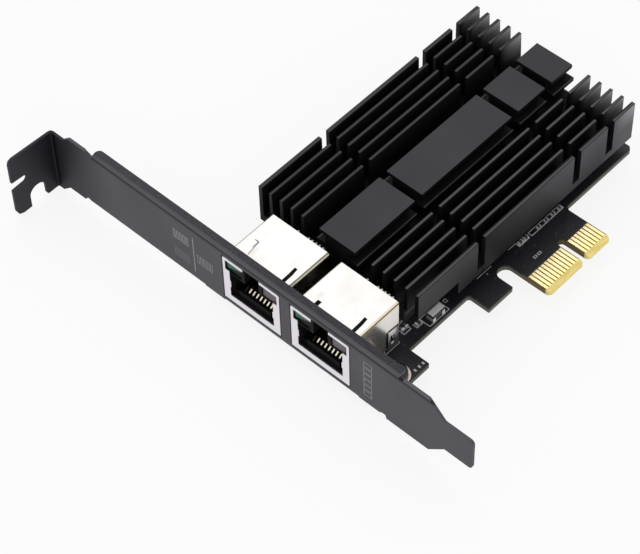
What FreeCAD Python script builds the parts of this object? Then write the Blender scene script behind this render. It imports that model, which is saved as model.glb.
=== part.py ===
import FreeCAD, Part
import math
import os

V = FreeCAD.Vector
os.makedirs("parts", exist_ok=True)

# All lengths are in mm. The origin is the key notch of the edge connector:
# X = 0 at the finger tips, Y = 0 at the notch centre and Z = 0 on the
# component side of the board. +X points into the slot, +Y away from the
# bracket and +Z up from the board. The mounting tab lies at the -X end.

# Board, seen from above
board_thick = 1.57
board_near = -56.8
foot_right = -7.05
foot_far = -43.0
main_right = -12.6
hook_near = -23.9
hook_far = -16.2
hook_tip = -7.0
slot_radius = 1.9
block_near = -12.15
block_far = 8.15
shoulder_x = -12.45
shoulder_radius = 1.2
key_width = 1.9
key_depth = 7.65
tip_radius = 0.5
bevel_length = 1.3
bevel_angle = 20.0
hole_radius = 1.6
ring_outer = 2.95
ring_thick = 0.05

# Edge fingers
finger_pitch = 1.0
finger_width = 0.7
finger_back = -6.2
finger_thick = 0.05
finger_counts = (11, 7)

# Bracket
sheet = 0.65
face_outer = -58.2
tab_top_x = -103.0
tongue_end_x = 17.3
full_low = -2.0
full_high = 15.3
mid_low = -1.15
bend_outer = 1.0
lip_top = 15.65
lip_depth = 2.33
neck_high = 13.35
neck_low = -4.3
tab_reach = 12.4
tab_high = 13.95
tongue_low = 2.05
tongue_high = 11.15
foot_half = 2.8
foot_depth = 11.6
window_gap = 0.12

# Jacks
jack_width = 16.05
jack_height = 13.35
jack_depth = 15.2
jack_centres = (-42.73, -23.43)
shield_thick = 0.3
mouth_low = 1.7
light_inner = 2.4
light_rise = 3.8
roof = 0.85
cavity_floor = 1.9
back_wall = 3.0
contact_count = 8
contact_pitch = 1.02
contact_width = 0.45
contact_thick = 0.3
contact_high = 4.25
lead_shift = (-0.75, 2.2, 3.2, 4.2, 5.2, 6.2)
pin_length = 2.9
peg_radius = 1.55

# Heatsink
sink_left = -57.53
sink_right = -12.69
sink_length = 71.1
sink_from_jacks = 2.95
sink_low = 3.5
sink_base = 2.0
sink_top = 14.4
fin_pitch = 3.06
fin_count = 5
fin_top_thick = 0.75
fin_root_thick = 1.1
outer_fin_thick = 0.95
stem_centre = -35.1
stem_width = 6.6
shelf_width = 11.4
shelf_top = 10.8
cap_width = 9.95
plate_thick = 1.0
near_cuts = (18.75, 50.35)
far_cut = 9.4
cut_width = 2.3
relief_width = 5.91
relief_length = 12.75
relief_high = 7.3
stud_from_near = 9.35
stud_from_far = 3.55
stud_radius = 1.25
standoff_radius = 2.4

# Parts on the board, with places counted from the heatsink's near or far end
chip_size = 23.0
chip_height = 2.5
chip_past_middle = 2.5
transformer_size = (14.2, 6.4, 3.0)
transformer_shift = (-3.67, -1.3)
transformer_from_near = 4.65
regulator_size = (6.5, 3.6, 1.7)
regulators_from_far = (5.85, 6.45)
flash_size = (5.0, 4.0, 1.7)
flash_from_far = 16.05
crystal_size = (5.0, 3.2, 1.3)
crystal_shift = 5.2
inductor_size = (5.2, 5.2, 2.9)
inductor_from_near = 21.55
inductors_from_far = (24.65, 18.65)
capacitor_size = (3.2, 1.6, 1.4)
left_capacitors_from_near = (13.55, 16.45)
right_capacitors_from_near = (28.05, 30.65)
capacitors_from_far = (13.05, 10.75)
resistor_size = (1.6, 0.8, 0.5)
left_resistors_from_near = (27.55, 29.55, 31.55, 33.55)
right_resistors_from_near = (33.05, 35.05, 37.05, 39.05)
right_resistors_from_far = (23.85, 22.15)
large_coupling = (1.3, 0.7, 0.6)
large_coupling_y = (-5.95, -4.2)
small_coupling = (1.1, 0.5, 0.5)
small_coupling_y = (0.0, 2.5, 4.85, 7.1)
edge_inductor_size = (1.9, 3.7, 1.9)
edge_inductor_from_near = 7.4
gap = 0.1

# Sizes and places that follow from those above
board_low = -board_thick
pin_low = -pin_length
jack_half = jack_width / 2.0
jack_front = face_outer
jack_back = jack_front + jack_depth
mouth_half = jack_half - 1.825
mouth_high = jack_height - 3.75
light_low = jack_height - roof - light_rise
light_high = jack_height - roof
light_outer = jack_half - 0.675
cavity_half = mouth_half - 0.3
cavity_back = jack_back - back_wall
spring_front = jack_front + 1.6
face_inner = face_outer + sheet
lip_back = face_outer + lip_depth
lip_left = tab_top_x + 13.7
lip_right = -2.2
ear_left = tab_top_x + 6.3
ear_right = tab_top_x + 11.1
tab_low_x = tab_top_x + sheet
tab_outer_y = face_outer - tab_reach
tab_notch_y = face_outer - 5.85
bend_inner = bend_outer - sheet
foot_depth_y = face_outer + foot_depth
hole_y = face_outer + 8.6
hole_left = jack_centres[0] - jack_half - ring_outer - 0.195
hole_x = (foot_right - 3.05, hole_left)
board_left = hole_left - ring_outer - 0.15
sink_near = jack_back + sink_from_jacks
sink_far = sink_near + sink_length
board_far = sink_far + 0.35
stud_y = (sink_near + stud_from_near, sink_far - stud_from_far)
chip_centre = (stem_centre, (sink_near + sink_far) / 2.0 + chip_past_middle)
left_column = board_left + 5.4
right_column = main_right - 7.0
edge_column = main_right - 0.75


def box(x0, x1, y0, y1, z0, z1):
    """A box from its low and high planes."""
    return Part.makeBox(x1 - x0, y1 - y0, z1 - z0, V(x0, y0, z0))


def face_of(points):
    """The flat face inside a closed run of corner points."""
    return Part.Face(Part.makePolygon(points + [points[0]]))


def prism_xy(corners, z0, z1):
    """An outline in X and Y, raised from z0 to z1."""
    flat = face_of([V(x, y, z0) for x, y in corners])
    return flat.extrude(V(0, 0, z1 - z0))


def prism_xz(corners, y0, y1):
    """An outline in X and Z, drawn out from y0 to y1."""
    flat = face_of([V(x, y0, z) for x, z in corners])
    return flat.extrude(V(0, y1 - y0, 0))


def prism_yz(corners, x0, x1):
    """An outline in Y and Z, drawn out from x0 to x1."""
    flat = face_of([V(x0, y, z) for y, z in corners])
    return flat.extrude(V(x1 - x0, 0, 0))


def ring_points(x, y, radius, sides):
    """Corners of a many-sided stand-in for a circle."""
    turn = 2 * math.pi / sides
    corners = []
    for k in range(sides):
        angle = (k + 0.5) * turn
        corners.append((x + radius * math.cos(angle), y + radius * math.sin(angle)))
    return corners


def rod_z(x, y, radius, z0, z1, sides=24):
    """An upright rod whose round side is made of flats."""
    return prism_xy(ring_points(x, y, radius, sides), z0, z1)


def taper_z(x, y, low_radius, high_radius, z0, z1, sides=24):
    """An upright rod that is wider at one end."""
    wires = []
    for radius, z in ((low_radius, z0), (high_radius, z1)):
        corners = [V(px, py, z) for px, py in ring_points(x, y, radius, sides)]
        wires.append(Part.makePolygon(corners + [corners[0]]))
    return Part.makeLoft(wires, True, True)


def hole_z(x, y, radius, sides=12):
    """The waste of a small hole along Z."""
    return rod_z(x, y, radius, -10, 10, sides)


def quarter(cx, cy, radius, start, steps=6):
    """Points of a quarter circle, from the start angle in degrees."""
    run = []
    for k in range(steps + 1):
        angle = math.radians(start + 90.0 * k / steps)
        run.append((cx + radius * math.cos(angle), cy + radius * math.sin(angle)))
    return run


def picked_edges(solid, wanted):
    """The edges whose midpoint the test accepts."""
    picked = []
    for edge in solid.Edges:
        middle = edge.valueAt((edge.FirstParameter + edge.LastParameter) / 2.0)
        if wanted(edge, middle):
            picked.append(edge)
    return picked


def round_edges(solid, radius, wanted):
    return solid.makeFillet(radius, picked_edges(solid, wanted))


def slope_edges(solid, size, wanted):
    return solid.makeChamfer(size, picked_edges(solid, wanted))


def along(edge, axis):
    """True when a straight edge runs along the axis (0, 1 or 2)."""
    if edge.Curve.TypeId != "Part::GeomLine":
        return False
    step = edge.Vertexes[1].Point - edge.Vertexes[0].Point
    return abs(abs(step[axis]) - step.Length) < 1e-6


def join(solids):
    """One solid from pieces that touch or cross."""
    whole = solids[0].fuse(solids[1:]) if len(solids) > 1 else solids[0]
    return whole.removeSplitter()


def save(name, shape):
    """Write one node, after checking that it is sound."""
    solids = shape.Solids
    if not solids or not shape.isValid():
        raise ValueError("bad solid in " + name)
    if len(solids) == 1:
        shape = solids[0]
    shape.exportStep("parts/" + name + ".step")
    print(name, len(solids), "solids", round(shape.Volume, 1), "mm3")


def pin_places(centre):
    """Where the eight contact tails of a jack pass the board."""
    places = []
    for k in range(contact_count):
        x = centre + (k - (contact_count - 1) / 2.0) * contact_pitch
        y = jack_back - 1.6 - 2.0 * (k % 2)
        places.append((x, y))
    return places


def lead_places(centre):
    """Where the leads of a jack's lights pass the board."""
    return [(centre + shift, jack_back + 0.2) for shift in lead_shift]


def peg_places(centre):
    """Where a jack housing's two pegs pass the board."""
    return [(centre + side * (jack_half - 2.325), jack_front + 8.6) for side in (-1, 1)]


def stake_places(centre):
    """Where a shield's two side stakes pass the board."""
    reach = jack_half - shield_thick / 2.0
    return [(centre + side * reach, jack_front + 6.3) for side in (-1, 1)]


# Circuit board


def board_outline():
    """The board's edge, from the near left corner round to the left."""
    slot_x = shoulder_x + slot_radius
    run = [(board_left, board_near), (foot_right, board_near)]
    run += [(foot_right, foot_far), (main_right, foot_far)]
    run += [(main_right, hook_near - 0.5), (main_right + 0.5, hook_near)]
    run += [(hook_tip, hook_near), (hook_tip, hook_far), (slot_x, hook_far)]
    middle = (hook_far + block_near) / 2.0
    half = (block_near - hook_far) / 2.0
    arc = []
    for k in range(1, 12):
        angle = math.pi * k / 12
        arc.append((slot_x - slot_radius * math.sin(angle), middle - half * math.cos(angle)))
    run += arc
    run += [(slot_x, block_near), (-tip_radius, block_near), (0, block_near + tip_radius)]
    key_half = key_width / 2.0
    top = -key_depth + key_half
    run += [(0, -key_half - tip_radius), (-tip_radius, -key_half), (top, -key_half)]
    for k in range(1, 8):
        angle = math.pi * k / 8
        run.append((top - key_half * math.sin(angle), -key_half * math.cos(angle)))
    run += [(top, key_half), (-tip_radius, key_half), (0, key_half + tip_radius)]
    run += [(0, block_far - tip_radius)]
    run += [(-tip_radius, block_far)]
    corner_x = shoulder_x + shoulder_radius
    corner_y = block_far + shoulder_radius
    for k in range(7):
        angle = math.radians(-90 - 90 * k / 6)
        x = corner_x + shoulder_radius * math.cos(angle)
        run.append((x, corner_y + shoulder_radius * math.sin(angle)))
    run += [(shoulder_x, board_far - 0.6), (shoulder_x - 0.6, board_far)]
    run += [(board_left + 0.6, board_far), (board_left, board_far - 0.6)]
    return run


def bevel_wedge(side):
    """The waste that a bevel takes off one face of the finger blocks."""
    drop = bevel_length * math.tan(math.radians(bevel_angle))
    z = 0 if side > 0 else board_low
    far = z - side * (drop + drop / bevel_length)
    corners = [(-bevel_length, z), (1, far), (1, z + side), (-bevel_length, z + side)]
    return prism_xz(corners, block_near - 1, block_far + 1)


def circuit_board():
    body = prism_xy(board_outline(), board_low, 0)
    holes = []
    for x in hole_x:
        holes.append(hole_z(x, hole_y, hole_radius, 24))
    for centre in jack_centres:
        for x, y in pin_places(centre) + lead_places(centre):
            holes.append(hole_z(x, y, 0.4, 8))
        for x, y in peg_places(centre):
            holes.append(hole_z(x, y, peg_radius + 2 * gap, 16))
        for x, y in stake_places(centre):
            holes.append(box(x - 0.35, x + 0.35, y - 1.0, y + 1.0, board_low - 1, 1))
    for y in stud_y:
        holes.append(hole_z(stem_centre, y, stud_radius + gap, 16))
    return body.cut(holes + [bevel_wedge(1), bevel_wedge(-1)])


def finger_rows():
    """Centre lines of the fingers, block by block."""
    key_half = key_width / 2.0
    spans = ((block_near, -key_half), (key_half, block_far))
    rows = []
    for count, (y0, y1) in zip(finger_counts, spans):
        start = (y0 + y1) / 2.0 - (count - 1) * finger_pitch / 2.0
        rows += [start + k * finger_pitch for k in range(count)]
    return rows


def edge_fingers(z0, z1):
    pads = []
    half = finger_width / 2.0
    for y in finger_rows():
        pads.append(box(finger_back, -bevel_length, y - half, y + half, z0, z1))
    return Part.makeCompound(pads)


def ground_rings():
    rings = []
    for x in hole_x:
        disc = rod_z(x, hole_y, ring_outer, 0, ring_thick, 32)
        rings.append(disc.cut(hole_z(x, hole_y, hole_radius, 24)))
    return Part.makeCompound(rings)


# Bracket


def face_outline():
    """The face plate's edge in X and Z, without the folds."""
    start = tab_top_x + bend_outer
    fold = lip_top - bend_outer
    low_end = tab_top_x + 11.3
    foot_side = hole_x[0] + foot_half
    lip_end = lip_right + 1.3
    run = [(start, neck_low), (start + 1.3, neck_low), (start + 3.7, full_low)]
    run += [(low_end - 1.7, full_low), (low_end - 1.3, full_low + 0.9)]
    run += [(low_end - 0.7, full_low + 1.1), (low_end, mid_low)]
    run += [(foot_side, mid_low), (foot_side + 0.9, full_low + 1.0)]
    run += [(foot_side + 1.7, full_low + 1.0), (foot_side + 2.0, full_low)]
    run += [(tongue_end_x - 11.4, full_low), (tongue_end_x - 7.2, tongue_low)]
    run += quarter(tongue_end_x - 1.0, tongue_low + 1.0, 1.0, -90)
    run += quarter(tongue_end_x - 1.0, tongue_high - 1.0, 1.0, 0)
    run += [(tongue_end_x - 7.4, tongue_high), (tongue_end_x - 11.55, full_high)]
    run += [(lip_end, full_high), (lip_end, fold + 0.4), (lip_end - 0.3, fold + 0.1)]
    run += [(lip_end - 0.8, fold - 0.1), (lip_end - 1.2, fold)]
    run += [(lip_left, fold), (lip_left - 0.4, fold - 0.1), (lip_left - 0.9, fold - 0.15)]
    run += [(lip_left - 1.5, fold + 0.1), (ear_right + 0.35, fold + 0.4)]
    run += [(ear_right, full_high), (ear_left, full_high)]
    run += [(ear_left - 2.1, neck_high), (start, neck_high)]
    return run


def fold_section(cu, cv, start):
    """A quarter bend of the sheet: outer arc out, inner arc back."""
    outer = quarter(cu, cv, bend_outer, start)
    inner = quarter(cu, cv, bend_inner, start)
    inner.reverse()
    return outer + inner


def bracket_lip():
    """The stiffening lip, folded inwards along the face's upper edge."""
    cy = face_outer + bend_outer
    cz = lip_top - bend_outer
    bend = prism_yz(fold_section(cy, cz, 90), lip_left, lip_right)
    shelf = [(lip_left, cy), (lip_right, cy)]
    shelf += quarter(lip_right - 0.7, lip_back - 0.7, 0.7, 0, 3)
    shelf += quarter(lip_left + 1.1, lip_back - 1.1, 1.1, 90, 4)
    return [bend, prism_xy(shelf, lip_top - sheet, lip_top)]


def bracket_foot(x):
    """One foot folded under the board, with its screw hole."""
    low = board_low - sheet
    cy = face_outer + bend_outer
    cz = low + bend_outer
    bend = prism_yz(fold_section(cy, cz, 180), x - foot_half, x + foot_half)
    web = box(x - foot_half, x + foot_half, face_outer, face_inner, cz, cz + 1.5)
    plate = [(x - foot_half, cy), (x + foot_half, cy), (x + foot_half, foot_depth_y - 1)]
    plate += [(x + foot_half - 1, foot_depth_y), (x - foot_half + 1, foot_depth_y)]
    plate += [(x - foot_half, foot_depth_y - 1)]
    flat = prism_xy(plate, low, board_low)
    return [bend, web, flat]


def tab_outline():
    """The mounting tab's edge in Y and Z, from the crease outwards."""
    crease = face_inner - bend_outer
    slit = tab_outer_y + 3.6
    run = [(crease, neck_low), (crease, neck_high), (tab_outer_y + 1.2, tab_high)]
    run += [(tab_outer_y + 0.35, tab_high - 0.4), (tab_outer_y, tab_high - 1.3)]
    run += [(tab_outer_y, neck_low + 11.3), (slit, neck_low + 11.0)]
    run += [(slit + 0.55, neck_low + 10.5), (slit + 0.55, neck_low + 9.4)]
    run += [(slit, neck_low + 8.9), (tab_outer_y, neck_low + 8.7)]
    run += [(tab_outer_y, neck_low + 2.0), (tab_outer_y + 0.6, neck_low + 0.6)]
    run += [(tab_outer_y + 2.0, neck_low), (tab_notch_y - 2.25, neck_low)]
    for k in range(9):
        angle = math.pi - math.pi * k / 8
        y = tab_notch_y + 2.25 * math.cos(angle)
        run.append((y, neck_low + 3.4 + 2.0 * math.sin(angle)))
    run += [(tab_notch_y + 2.35, neck_low + 0.6), (tab_notch_y + 2.75, neck_low)]
    return run


def bracket():
    plate = prism_xz(face_outline(), face_outer, face_inner)
    cx = tab_top_x + bend_outer
    cy = face_inner - bend_outer
    bend = prism_xy(fold_section(cx, cy, 90), neck_low, neck_high)
    tab = prism_yz(tab_outline(), tab_top_x, tab_low_x)
    pieces = [plate, bend, tab] + bracket_lip()
    for x in hole_x:
        pieces += bracket_foot(x)
    whole = join(pieces)
    cuts = []
    for centre in jack_centres:
        half = jack_half + window_gap
        high = jack_height + window_gap
        window = box(centre - half, centre + half, face_outer - 1, face_inner + 1, -window_gap, high)
        cuts.append(round_edges(window, 0.4, lambda edge, middle: along(edge, 1)))
    for x in hole_x:
        cuts.append(rod_z(x, hole_y, hole_radius - 0.1, board_low - 2, board_low + 0.5))
    return whole.cut(cuts)


def bracket_screws():
    screws = []
    head_radius = hole_radius + 0.8
    for x in hole_x:
        head = rod_z(x, hole_y, head_radius, ring_thick, 1.1)
        crown = taper_z(x, hole_y, head_radius, head_radius - 0.75, 1.1, 1.75)
        shank = rod_z(x, hole_y, hole_radius - 0.18, pin_low, ring_thick + 0.5, 16)
        cross = [box(x - 1.2, x + 1.2, hole_y - 0.3, hole_y + 0.3, 1.0, 3)]
        cross.append(box(x - 0.3, x + 0.3, hole_y - 1.2, hole_y + 1.2, 1.0, 3))
        screws.append(join([head, crown, shank]).cut(cross))
    return Part.makeCompound(screws)


# Jacks


def mouth_outline(centre):
    """The stepped opening in a shield's front frame."""
    tooth = mouth_half - 0.25
    right = [(mouth_half, mouth_low), (mouth_half, mouth_low + 2.7), (tooth, mouth_low + 2.9)]
    right += [(tooth, mouth_high - 3.2), (mouth_half, mouth_high - 3.0)]
    right += [(mouth_half, mouth_high), (light_outer, mouth_high), (light_outer, light_high)]
    right += [(light_inner, light_high), (light_inner, jack_height + 1)]
    left = [(-x, z) for x, z in reversed(right)]
    return [(centre + x, z) for x, z in right + left]


def side_seam(x0, x1):
    """The narrow seam round a flap in the shield's side wall."""
    high = jack_height - 7.05
    front = jack_back - 3.6
    upper = box(x0, x1, front, jack_back - 0.1 - shield_thick, high - 0.3, high)
    corners = [(front - 0.3, 1.0), (front, 1.0), (front + 0.3, high), (front, high)]
    lower = prism_yz(corners, x0, x1)
    hook = box(x0, x1, jack_back - 2.5, jack_back - 1.9, 1.9, high - 2.0)
    return [upper, lower, hook]


def top_slots(centre):
    """The gaps beside the two spring flaps in a shield's top."""
    front = jack_front + 3.6
    back = jack_front + 7.75
    z0 = jack_height - 1
    z1 = jack_height + 1
    edge = centre + jack_half
    run = [(edge - 2.45, front), (edge - 2.5, front + 2.0), (edge - 2.65, back)]
    run += [(edge - 1.9, back), (edge - 1.65, front + 2.5), (edge - 1.55, front)]
    cuts = [prism_xy(run, z0, z1)]
    flap = centre - jack_half + 3.2
    if centre == jack_centres[0]:
        cuts.append(box(flap - 0.95, flap, back - 0.12, back, z0, z1))
        cuts.append(box(flap - 0.12, flap, back - 1.9, back, z0, z1))
    else:
        cuts.append(box(flap + 0.15, flap + 1.15, front, front + 1.15, z0, z1))
    return cuts


def jack_shield(centre):
    outer = box(centre - jack_half, centre + jack_half, jack_front, jack_back, 0, jack_height)
    outer = round_edges(outer, 0.5, lambda edge, middle: along(edge, 1) and middle.z > 1)
    inner = jack_half - shield_thick
    front = jack_front + shield_thick
    back = jack_back - shield_thick
    top = jack_height - shield_thick
    shell = outer.cut(box(centre - inner, centre + inner, front, back, -1, top))
    cuts = [prism_xz(mouth_outline(centre), jack_front - 1, front)]
    cuts.append(box(centre - light_inner, centre + light_inner, jack_front - 1, jack_front + 2.6,
                    top - 0.1, jack_height + 1))
    cuts += top_slots(centre)
    cuts += side_seam(centre + jack_half - 1, centre + jack_half + 1)
    cuts += side_seam(centre - jack_half - 1, centre - jack_half + 1)
    stakes = []
    for x, y in stake_places(centre):
        w = shield_thick / 2.0
        stakes.append(box(x - w, x + w, y - 0.8, y + 0.8, pin_low, 0.5))
    return join([shell.cut(cuts)] + stakes)


def side_pair(centre, near, far, y0, y1, z0, z1):
    """The same box on both sides of a jack's middle."""
    right = box(centre + near, centre + far, y0, y1, z0, z1)
    left = box(centre - far, centre - near, y0, y1, z0, z1)
    return [left, right]


def jack_housing(centre):
    half = jack_half - shield_thick
    front = jack_front + shield_thick
    back = jack_back - shield_thick
    top = jack_height - shield_thick
    light_back = jack_front + 8.2
    body = box(centre - half, centre + half, front, back, 0.0, top)
    cuts = [box(centre - cavity_half, centre + cavity_half, front - 1, cavity_back,
                cavity_floor, light_low)]
    cuts.append(box(centre - 2.0, centre + 2.0, front - 1, cavity_back - 0.6,
                    light_low - 0.5, top + 1))
    cuts += side_pair(centre, light_inner + 0.5, light_outer - 0.05, front - 1, light_back,
                      light_low + 0.3, light_high)
    cuts += side_pair(centre, cavity_half - 0.1, mouth_half, front - 1, front + 0.6,
                      mouth_low, light_low)
    for x, y in pin_places(centre):
        w = contact_width / 2.0 + gap
        cuts.append(box(x - w, x + w, spring_front - 0.4, jack_back + 1, -1, cavity_floor + 0.1))
    ledge = cavity_half - 1.4
    solids = [body.cut(cuts)]
    solids += side_pair(centre, ledge, cavity_half + 0.2, front + 0.9, front + 3.0,
                        cavity_floor - 0.5, cavity_floor + 1.0)
    bar_back = spring_front - 0.3
    solids.append(box(centre - ledge, centre + ledge, bar_back - 0.35, bar_back,
                      cavity_floor - 0.3, contact_high - 0.5))
    for x, y in peg_places(centre):
        solids.append(rod_z(x, y, peg_radius, board_low, 0.5, 16))
        solids.append(taper_z(x, y, peg_radius - 0.3, peg_radius, board_low - 0.45, board_low, 16))
    return join(solids)


def contact_section(y_pin):
    """A sprung contact in Y and Z: tail, floor run, fold and free end."""
    t = contact_thick
    half = t / 2.0
    low = 0.5
    bend = spring_front + 1.1
    tip = cavity_back - 1.2
    under = contact_high - t
    run = [(y_pin - half, pin_low), (y_pin + half, pin_low), (y_pin + half, low + t)]
    run += [(spring_front + t, low + t), (spring_front + t, under - 0.6), (bend + 0.1, under)]
    run += [(tip, under), (tip, contact_high), (bend, contact_high)]
    run += [(spring_front, contact_high - 0.75), (spring_front, low), (y_pin - half, low)]
    return run


def jack_contacts(centre):
    wires = []
    for x, y in pin_places(centre):
        w = contact_width / 2.0
        wires.append(prism_yz(contact_section(y), x - w, x + w))
    return Part.makeCompound(wires)


def jack_light(centre, side):
    """A light window: its lens and the light guide behind it."""
    near = light_inner + 0.6
    far = light_outer - 0.1
    left, right = side_pair(centre, near, far, jack_front + 0.6, jack_front + 8.2,
                            light_low + 0.3, light_high - 0.05)
    block = left if side < 0 else right
    return slope_edges(block, 0.2, lambda edge, middle: along(edge, 1))


def light_leads(centre):
    leads = []
    w = 0.2
    for x, y in lead_places(centre):
        leads.append(box(x - w, x + w, y - w, y + w, pin_low + 0.2, jack_height - 0.1))
    return Part.makeCompound(leads)


# Heatsink


def fin_section(x0, top_thick, root_thick, root, top, lean):
    """A fin that tapers towards its top; lean keeps one face upright."""
    x1 = x0 + top_thick
    spare = root_thick - top_thick
    left = x0 - spare * (1 - lean)
    right = x1 + spare * lean
    return [(left, root), (right, root), (x1, top), (x0, top)]


def heatsink_sections():
    """All runs of the extrusion in X and Z."""
    base_top = sink_low + sink_base
    sink_in = base_top - 0.3
    runs = [[(sink_left, sink_low), (sink_right, sink_low),
             (sink_right, base_top), (sink_left, base_top)]]
    for k in range(fin_count):
        thin = outer_fin_thick if k == 0 else fin_top_thick
        thick = outer_fin_thick + 0.15 if k == 0 else fin_root_thick
        x = sink_left + k * fin_pitch
        runs.append(fin_section(x, thin, thick, sink_in, sink_top, 1))
        x = sink_right - k * fin_pitch - thin
        runs.append(fin_section(x, thin, thick, sink_in, sink_top, 0))
    half = stem_width / 2.0
    runs.append([(stem_centre - half, sink_in), (stem_centre + half, sink_in),
                 (stem_centre + half, sink_top - 0.2), (stem_centre - half, sink_top - 0.2)])
    for width, top in ((shelf_width, shelf_top), (cap_width, sink_top)):
        half = width / 2.0
        low = top - plate_thick
        runs.append([(stem_centre - half, low), (stem_centre + half, low),
                     (stem_centre + half, top), (stem_centre - half, top)])
    return runs


def heatsink():
    body = join([prism_xz(run, sink_near, sink_far) for run in heatsink_sections()])
    base_top = sink_low + sink_base
    cuts = []
    places = [sink_near + place for place in near_cuts] + [sink_far - far_cut]
    for y in places:
        cuts.append(box(sink_left - 1, sink_right + 1, y, y + cut_width, base_top, sink_top + 1))
    cuts.append(box(sink_right - relief_width, sink_right + 1, sink_near - 1, sink_near + relief_length,
                    sink_low - 1, relief_high))
    for y in stud_y:
        cuts.append(rod_z(stem_centre, y, stud_radius, sink_low - 1, sink_low + 4.0, 16))
    return body.cut(cuts)


def heatsink_standoffs():
    rings = []
    for y in stud_y:
        ring = rod_z(stem_centre, y, standoff_radius, 0, sink_low, 20)
        rings.append(ring.cut(hole_z(stem_centre, y, stud_radius, 16)))
    return Part.makeCompound(rings)


def heatsink_screws():
    screws = []
    x = stem_centre
    wide = stud_radius + 0.95
    for y in stud_y:
        head = rod_z(x, y, wide, board_low - 0.9, board_low)
        crown = taper_z(x, y, wide - 0.6, wide, board_low - 1.4, board_low - 0.9)
        shank = rod_z(x, y, stud_radius - 0.05, board_low - 0.5, sink_low + 3.7, 16)
        cross = [box(x - 1.1, x + 1.1, y - 0.28, y + 0.28, board_low - 2, board_low - 0.7)]
        cross.append(box(x - 0.28, x + 0.28, y - 1.1, y + 1.1, board_low - 2, board_low - 0.7))
        screws.append(join([head, crown, shank]).cut(cross))
    return Part.makeCompound(screws)


# Parts under the heatsink


def network_controller():
    cx, cy = chip_centre
    half = chip_size / 2.0
    base = box(cx - half, cx + half, cy - half, cy + half, 0, 1.1)
    lid = half - 1.2
    cap = [(cx - lid, cy - lid), (cx + lid, cy - lid), (cx + lid, cy + lid), (cx - lid, cy + lid)]
    return join([base, prism_xy(cap, 1.0, chip_height)])


def thermal_pad():
    cx, cy = chip_centre
    half = chip_size / 2.0 - 2.0
    return box(cx - half, cx + half, cy - half, cy + half, chip_height, sink_low)


def gull_lead(x, y, direction, reach, width, height):
    """A bent lead in Y and Z, from a body's side down to the board."""
    s = direction
    t = 0.2
    knee = y + s * reach * 0.4
    run = [(y, height + t), (knee + s * t, height + t), (knee + s * t, t)]
    run += [(y + s * reach, t), (y + s * reach, 0), (knee, 0), (knee, height), (y, height)]
    return prism_yz(run, x - width / 2.0, x + width / 2.0)


def leaded_body(cx, cy, size, pins, pitch, reach, width):
    """A moulded body with a row of leads along both long sides."""
    lift = 0.1
    half_x = size[0] / 2.0
    half_y = size[1] / 2.0
    top = size[2]
    body = box(cx - half_x, cx + half_x, cy - half_y, cy + half_y, lift, top)
    pieces = [slope_edges(body, 0.25, lambda edge, middle: middle.z > top - 0.01)]
    for k in range(pins):
        x = cx + (k - (pins - 1) / 2.0) * pitch
        pieces.append(gull_lead(x, cy + half_y - 0.05, 1, reach, width, top * 0.4))
        pieces.append(gull_lead(x, cy - half_y + 0.05, -1, reach, width, top * 0.4))
    return join(pieces)


def lan_transformers():
    bodies = []
    y = sink_near + transformer_from_near
    pitch = transformer_size[0] / 12.9
    for centre, shift in zip(jack_centres, transformer_shift):
        bodies.append(leaded_body(centre + shift, y, transformer_size, 12, pitch, 1.2, 0.45))
    return Part.makeCompound(bodies)


def flash_memory():
    pitch = flash_size[0] / 3.94
    return leaded_body(left_column + 0.4, sink_far - flash_from_far, flash_size, 4, pitch, 1.1, 0.42)


def centred_block(x, y, size):
    """A block standing on the board, from its middle and its size."""
    length, width, height = size
    half_x = length / 2.0
    half_y = width / 2.0
    return box(x - half_x, x + half_x, y - half_y, y + half_y, 0, height)


def turned_block(x, y, size):
    """The same block with its length along Y."""
    return centred_block(x, y, (size[1], size[0], size[2]))


def crystal():
    length, width, height = crystal_size
    x = chip_centre[0] + (chip_size + length) / 2.0 + 1.4
    y = chip_centre[1] + crystal_shift
    base = centred_block(x, y, (length, width, height - 0.7))
    lid = centred_block(x, y, (length - 0.4, width - 0.4, height))
    return join([base, slope_edges(lid, 0.3, lambda edge, middle: along(edge, 2))])


def power_inductors():
    places = [(left_column, sink_near + inductor_from_near)]
    places += [(x, sink_far - place) for x, place in zip((left_column, right_column), inductors_from_far)]
    coils = []
    for x, y in places:
        block = centred_block(x, y, inductor_size)
        coils.append(slope_edges(block, 0.5, lambda edge, middle: along(edge, 2)))
    return Part.makeCompound(coils)


def voltage_regulators():
    bodies = []
    pitch = regulator_size[0] / 2.83
    for x, place in zip((left_column + 1.8, right_column - 0.8), regulators_from_far):
        bodies.append(leaded_body(x, sink_far - place, regulator_size, 3, pitch, 1.5, 0.7))
    return Part.makeCompound(bodies)


def bulk_capacitors():
    chip_far = chip_centre[1] + chip_size / 2.0
    places = [(left_column, sink_near + place) for place in left_capacitors_from_near]
    places += [(right_column - 0.2, sink_near + place) for place in right_capacitors_from_near]
    places += [(right_column, sink_far - place) for place in capacitors_from_far]
    places += [(left_column + 6.4, chip_far + 5.1), (left_column + 6.4, chip_far + 7.5)]
    for x in (stem_centre - 6.3, stem_centre + 6.9):
        places += [(x, stud_y[1] - 6.9), (x, stud_y[1] + 0.7)]
    return Part.makeCompound([centred_block(x, y, capacitor_size) for x, y in places])


def chip_resistors():
    chip_far = chip_centre[1] + chip_size / 2.0
    places = [(left_column - 3.0, sink_near + place) for place in left_resistors_from_near]
    places += [(right_column + 3.2, sink_near + place) for place in right_resistors_from_near]
    places += [(right_column + 3.2, sink_far - place) for place in right_resistors_from_far]
    places += [(chip_centre[0] + dx, chip_far + 3.7) for dx in (-3.9, -0.9, 2.1, 5.1)]
    return Part.makeCompound([centred_block(x, y, resistor_size) for x, y in places])


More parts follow.
